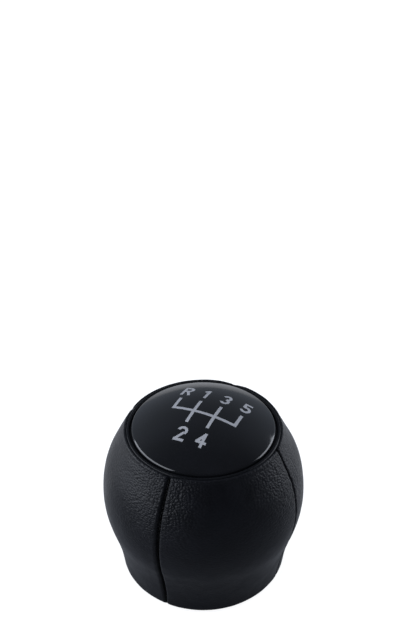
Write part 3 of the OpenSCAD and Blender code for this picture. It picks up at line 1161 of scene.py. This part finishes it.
@dataclass
class BaseRing:
    """The ring that closes the base: hole for the lever, seat for the hem and four hooks."""

    extent: Extent
    hole: float = 7.2
    step: float = 1.2
    top: float = 2.4
    tuck: float = 2.5
    edge: float = 0.3
    hook_radius: float = 14.2
    catch: float = 4.5
    hook: SnapHook = SnapHook()

    def build(self) -> Piece:
        """Makes the ring.

        Returns:
            The turned ring with its hooks.
        """
        outer = self.extent.radius
        inner = outer - self.tuck
        points = [(self.hole + self.edge, 0), (outer - self.edge, 0)]
        points += arc((outer - self.edge, self.edge), self.edge, -90, 0, steps=4)[1:]
        points += [(outer, self.step), (inner, self.step), (inner, self.top),
                   (self.hole, self.top)]
        points += arc((self.hole + self.edge, self.edge), self.edge, 180, 270, steps=4)[:-1]
        ring = lathe("closing_ring", points)
        join(ring, self.hook.build("hook", self.hook_radius, self.step, self.catch))
        smooth(ring)
        return ring


@dataclass
class LeverInsert:
    """The brass insert: knurled outside, grooved, and tapped M12 x 1.25 inside."""

    extent: Extent
    tapping: float = 5.375
    major: float = 6.0
    pitch: float = 1.25
    chamfer: float = 0.6
    groove_width: float = 3.0
    groove_depth: float = 0.6
    strips: int = 96
    knurl_land: float = 0.08
    knurl_depth: float = 0.22
    crest: float = 0.16
    thread_root: float = 0.05
    thread_gap: float = 0.02
    thread_steps: int = 64

    def build(self) -> Piece:
        """Makes the insert.

        Returns:
            The turned insert with its knurl and its thread.
        """
        outer, low, high = self.extent.radius, self.extent.low, self.extent.high
        middle = (low + high) / 2
        groove_low, groove_high = middle - self.groove_width / 2, middle + self.groove_width / 2
        neck = outer - self.groove_depth
        cut = self.chamfer / 2
        points = [(self.major, low), (outer - cut, low), (outer, low + cut), (outer, groove_low),
                  (neck, groove_low), (neck, groove_high), (outer, groove_high),
                  (outer, high - cut), (outer - cut, high), (self.major, high)]
        insert = lathe("brass_insert", points, self.strips)
        self.knurl(insert)
        join(insert, [self.thread(low + self.chamfer, high - self.chamfer)])
        smooth(insert, angle=35)
        return insert

    def knurl(self, insert: Piece) -> None:
        """Sinks every second strip of the outer bands, as a straight knurl.

        Args:
            insert: The turned insert.
        """
        reach = (self.extent.radius - self.groove_depth / 2) * MM
        step = math.tau / self.strips

        def sunk(face: Face) -> bool:
            """Tells whether a face is one of the strips between two ridges.

            Args:
                face: One of the insert's faces.

            Returns:
                Whether it is upright, on an outer band, and an even strip.
            """
            spot = face.calc_center_median()
            turn = math.atan2(spot.y, spot.x) % math.tau
            upright = abs(face.normal.z) < 0.1 and face.normal.x * spot.x > -1e-6
            return upright and math.hypot(spot.x, spot.y) > reach and int(turn / step) % 2 == 0

        with editing(insert, Pick.FACES) as mesh:
            pick_faces(insert, mesh, sunk)
            bpy.ops.mesh.inset(thickness=self.knurl_land * MM, depth=-self.knurl_depth * MM,
                               use_individual=True)

    def thread(self, low: float, high: float) -> Piece:
        """Winds the thread's ridge up the bore.

        Args:
            low: Height at which it may start.
            high: Height at which it has to end.

        Returns:
            The ridge, in whole turns.
        """
        turns = int((high - low) / self.pitch) - 1
        start = low + self.pitch / 2
        root, half = self.major + self.thread_root, self.pitch / 2 - self.thread_gap
        ridge = section("thread", [
            (root, start - half), (root, start + half),
            (self.tapping, start + self.crest / 2), (self.tapping, start - self.crest / 2)])
        apply_modifier(ridge, "SCREW", angle=math.tau, screw_offset=self.pitch * MM,
                       iterations=turns, steps=self.thread_steps,
                       render_steps=self.thread_steps, use_normal_calculate=False)
        with editing(ridge):
            clean(close=True)
        return ridge


# ---------------------------------------------------------------- stage


def direction(azimuth: float, elevation: float) -> Vector:
    """Finds a direction away from the knob.

    Args:
        azimuth: Angle to the right of the driver's side, in degrees.
        elevation: Angle above the floor, in degrees.

    Returns:
        The direction, of length one.
    """
    a, e = math.radians(azimuth), math.radians(elevation)
    return Vector((math.cos(e) * math.sin(a), -math.cos(e) * math.cos(a), math.sin(e)))


def aim(device: Piece, out: Vector) -> None:
    """Turns a camera or a lamp to look back along a direction, with its top up."""
    device.rotation_mode = "QUATERNION"
    device.rotation_quaternion = (-out).to_track_quat("-Z", "Y")


@dataclass(frozen=True)
class PhotoCamera:
    """The photograph's view: angles in degrees, lengths in millimetres, image places in pixels."""

    elevation: float = 43.66
    azimuth: float = 24.7
    distance: float = 250.0
    target_height: float = 22.5
    focal_px: float = 991.9
    middle_px: Point = (203.46, 491.92)
    frame_px: tuple[int, int] = (420, 630)
    sensor_mm: float = 36.0
    clip_m: Span = (0.01, 50.0)

    def build(self) -> None:
        """Makes the scene's camera, with the shift that the photograph's framing needs."""
        out = direction(self.azimuth, self.elevation)
        target = Vector((0, 0, self.target_height)) * MM
        bpy.ops.object.camera_add(location=target + out * self.distance * MM)
        camera = bpy.context.object
        camera.name = "photo_camera"
        aim(camera, out)
        width, height = self.frame_px
        camera.data.sensor_width = self.sensor_mm
        camera.data.lens = self.focal_px * self.sensor_mm / height
        camera.data.shift_x = (width / 2 - self.middle_px[0]) / height
        camera.data.shift_y = (self.middle_px[1] - height / 2) / height
        camera.data.clip_start, camera.data.clip_end = self.clip_m
        bpy.context.scene.camera = camera


@dataclass(frozen=True)
class SoftBox:
    """A large area lamp, aimed at the knob: angles in degrees, lengths in metres."""

    name: str
    azimuth: float
    elevation: float
    distance: float
    width: float
    height: float
    watts: float
    reflected: bool = True
    tint: str = "#eef4ff"

    def build(self) -> None:
        """Makes the lamp."""
        out = direction(self.azimuth, self.elevation)
        bpy.ops.object.light_add(type="AREA", location=out * self.distance)
        lamp = bpy.context.object
        lamp.name = self.name
        aim(lamp, out)
        lamp.data.shape = "RECTANGLE"
        lamp.data.size, lamp.data.size_y = self.width, self.height
        lamp.data.energy = self.watts
        lamp.data.color = linear(self.tint)[:3]
        lamp.visible_glossy = self.reflected


@dataclass
class Studio:
    """A white floor in a dim studio, with a soft lamp on each side and a panel overhead.

    The surroundings are lighter towards the lit side and at both ends of the wings. A share
    says how much of the white background shows in a reflection.
    """

    floor_half: float = 0.9
    floor_paper: str = "#7c7e83"
    floor_glow: float = 0.9
    gloss_share: float = 0.04
    floor_share: float = 0.42
    floor_fade_mm: Span = (-20.0, 45.0)
    lit_side: Direction = (-0.41, 0.87, -0.26)
    tones: tuple[tuple[float, str], ...] = (
        (0.1, "#121316"), (0.42, "#191a1e"), (0.7, "#6a7079"), (0.95, "#7f8793"))
    wings: Direction = (0.91, 0.42, 0.0)
    wing_gain: float = 2.7
    lamps: tuple[SoftBox, ...] = (
        SoftBox("left_box", azimuth=-58, elevation=19, distance=0.9,
                width=1.3, height=0.55, watts=13.5),
        SoftBox("right_box", azimuth=131, elevation=17, distance=0.9,
                width=0.7, height=0.5, watts=5.6),
        SoftBox("ceiling_panel", azimuth=25, elevation=80, distance=1.4,
                width=1.6, height=1.6, watts=22.0, reflected=False),
    )

    def build(self) -> None:
        """Makes the floor, the world and the lamps."""
        self.floor()
        self.world()
        for lamp in self.lamps:
            lamp.build()
        bpy.context.scene.view_settings.view_transform = "Standard"

    def towards_light(self, tree: Tree, place: Socket) -> Socket:
        """Adds how far a place or a way lies towards the lit side.

        Args:
            tree: The node tree that takes the node.
            place: The place or the way.

        Returns:
            Its reach along that direction.
        """
        lit = Vector(self.lit_side).normalized()
        return add_node(tree, "ShaderNodeVectorMath", {
            0: place, 1: lit}, operation="DOT_PRODUCT").outputs["Value"]

    def in_view(self, tree: Tree, share: Socket | float) -> Socket:
        """Adds how much of the white background a ray sees.

        Args:
            tree: The node tree that takes the nodes.
            share: How much of it shows in a reflection.

        Returns:
            One for the camera and through clear parts, and the given share in a reflection.
        """
        path = add_node(tree, "ShaderNodeLightPath").outputs
        mirrored = add_node(tree, "ShaderNodeMath", {
            0: path["Is Glossy Ray"], 1: share}, operation="MULTIPLY")
        direct = add_node(tree, "ShaderNodeMath", {
            0: path["Is Camera Ray"], 1: path["Is Transmission Ray"]}, operation="MAXIMUM")
        return add_node(tree, "ShaderNodeMath", {
            0: direct.outputs[0], 1: mirrored.outputs[0]}, operation="MAXIMUM").outputs[0]

    def floor(self) -> None:
        """Makes the floor of matt paper: white in view, grey to the knob, with its shadow."""
        deselect_all()
        bpy.ops.mesh.primitive_plane_add(size=2 * self.floor_half, location=(0, 0, 0))
        floor = bpy.context.object
        floor.name = "studio_floor"
        material, tree, shader, place = new_material("white_floor_paper")
        tree.nodes.remove(shader)
        near, far = self.floor_fade_mm
        share = add_node(tree, "ShaderNodeMapRange", {
            "Value": self.towards_light(tree, place), "From Min": near * MM,
            "From Max": far * MM, "To Max": self.floor_share},
            interpolation_type="SMOOTHSTEP").outputs["Result"]
        level = add_node(tree, "ShaderNodeMath", {
            0: self.in_view(tree, share), 1: self.floor_glow}, operation="MULTIPLY")
        glow = add_node(tree, "ShaderNodeEmission", {"Strength": level.outputs[0]})
        paper = add_node(tree, "ShaderNodeBsdfDiffuse", {"Color": linear(self.floor_paper)})
        both = add_node(tree, "ShaderNodeAddShader", {0: glow.outputs[0], 1: paper.outputs[0]})
        tree.links.new(both.outputs[0], tree.nodes["Material Output"].inputs["Surface"])
        floor.data.materials.append(material)

    def world(self) -> None:
        """Makes the surroundings: lighter behind and aside, dim in front, white in view."""
        world = bpy.data.worlds.new("studio")
        world.use_nodes = True
        bpy.context.scene.world = world
        tree = world.node_tree
        way = add_node(tree, "ShaderNodeTexCoord").outputs["Generated"]
        place = add_node(tree, "ShaderNodeMapRange", {
            "Value": self.towards_light(tree, way), "From Min": -1.0}).outputs["Result"]
        tone = add_node(tree, "ShaderNodeValToRGB", {0: place}, stops=self.tones)
        aside = add_node(tree, "ShaderNodeVectorMath", {
            0: way, 1: self.wings}, operation="DOT_PRODUCT").outputs["Value"]
        squared = add_node(tree, "ShaderNodeMath", {0: aside, 1: aside}, operation="MULTIPLY")
        gain = add_node(tree, "ShaderNodeMath", {
            0: squared.outputs[0], 1: self.wing_gain, 2: 1.0}, operation="MULTIPLY_ADD")
        glow = add_node(tree, "ShaderNodeVectorMath", {
            0: tone.outputs["Color"], "Scale": gain.outputs[0]}, operation="SCALE")
        seen = add_node(tree, "ShaderNodeMix", {
            "Factor": self.in_view(tree, self.gloss_share), 6: glow.outputs[0],
            7: linear("#ffffff")}, data_type="RGBA")
        tree.links.new(seen.outputs[2], tree.nodes["Background"].inputs["Color"])


# ---------------------------------------------------------------- putting it together


def dress_cad_nodes(materials: Mapping[str, bpy.types.Material]) -> None:
    """Gives each CAD node that stays its material.

    Args:
        materials: The material for each start of a node's name.
    """
    for name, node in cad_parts.items():
        for start, material in materials.items():
            if name.startswith(start):
                dress(node, material)
                LOG.info("%s: %s", name, material.name)


def save_sizes() -> None:
    """Brings the view layer up to date."""
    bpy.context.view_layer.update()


def main() -> None:
    """Builds the camera, the knob's pieces and the stage."""
    logging.basicConfig(level=logging.INFO, format="%(name)s %(message)s")
    PhotoCamera().build()

    curve = GripCurve()
    ring, base = Extent.of("trim_ring"), Extent.of("base_ring")
    leather, foam = GrainedLeather().build(), FOAM_CELLS.build()
    for quarter in Quarter:
        panel = LeatherPanel(quarter, curve, ring, base)
        seat(panel.build(), leather, "leather", panel.node)
        pad = FoamPad(quarter, curve)
        cushion = pad.build()
        seat(cushion, foam, "foam", pad.node)
    seat(Cap(ring).build(), CAP_GLOSS.build(), "cap", "cap")
    seat(TrimRing(ring).build(), RING_SATIN.build(), "trim", "trim_ring")
    seat(BaseRing(base).build(), BASE_EROSION.build(), "base", "base_ring")
    insert = LeverInsert(Extent.of("lever_insert"))
    seat(insert.build(), TurnedBrass().build(), "brass", "lever_insert")

    print_fill, nylon = PRINT_FILL.build(), CORE_NYLON.build()
    dress_cad_nodes({
        "gate_lines": print_fill, "figure_": print_fill,
        "core_": nylon, "seam_threads": BondedThread().build()})

    Studio().build()
    save_sizes()


if __name__ == "__main__":
    main()
